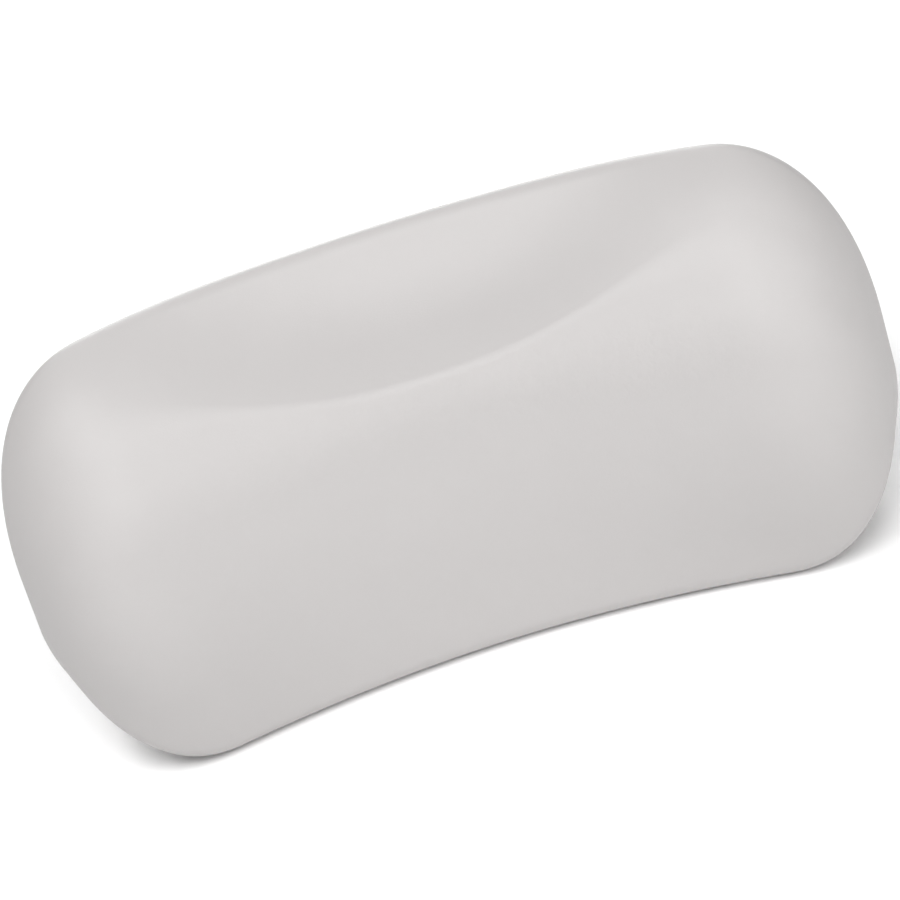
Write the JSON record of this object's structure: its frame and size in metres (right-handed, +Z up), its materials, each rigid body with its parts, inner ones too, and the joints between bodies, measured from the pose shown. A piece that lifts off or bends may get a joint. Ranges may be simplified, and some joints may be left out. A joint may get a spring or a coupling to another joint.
{
  "type": "bath pillow",
  "caption": "Soft moulded bath pillow with a bowed back, a scooped head rest and suction cups on studs that lock in keyholes of a hidden insert.",
  "frame": {"origin": "middle of the flat base, halfway between its front and back edges", "axes": "+X along the pillow to its right end seen from the front, +Y out of the back towards the tub wall, +Z up"},
  "size_m": [0.2794, 0.081, 0.1317],
  "materials": {
    "skin": "satin, soft polyurethane skin, pale warm grey",
    "foam": "matt polyurethane foam",
    "insert": "moulded polypropylene",
    "cap": "moulded polypropylene",
    "stud": "moulded nylon",
    "cup": "clear soft polyvinyl chloride"
  },
  "bodies": {
    "pillow": {"cover_skin": "skin", "foam_core": "foam", "insert_plate": "insert", "socket_cap_left": "cap", "socket_cap_right": "cap"},
    "left_stud": {"cup_stud_left": "stud"},
    "left_cup": {"suction_cup_left": "cup"},
    "right_stud": {"cup_stud_right": "stud"},
    "right_cup": {"suction_cup_right": "cup"}
  },
  "joints": [
    {"name": "left_unlock_slide", "type": "slide", "parent": "pillow", "child": "left_stud", "axis": [0, 0, -1], "range_m": [0, 0.014]},
    {"name": "left_cup_swivel", "type": "hinge", "parent": "left_stud", "child": "left_cup", "pos_m": [-0.065, 0.02, 0.072], "axis": [0, 1, 0], "continuous": true},
    {"name": "right_unlock_slide", "type": "slide", "parent": "pillow", "child": "right_stud", "axis": [0, 0, -1], "range_m": [0, 0.014]},
    {"name": "right_cup_swivel", "type": "hinge", "parent": "right_stud", "child": "right_cup", "pos_m": [0.065, 0.02, 0.072], "axis": [0, 1, 0], "continuous": true}
  ]
}
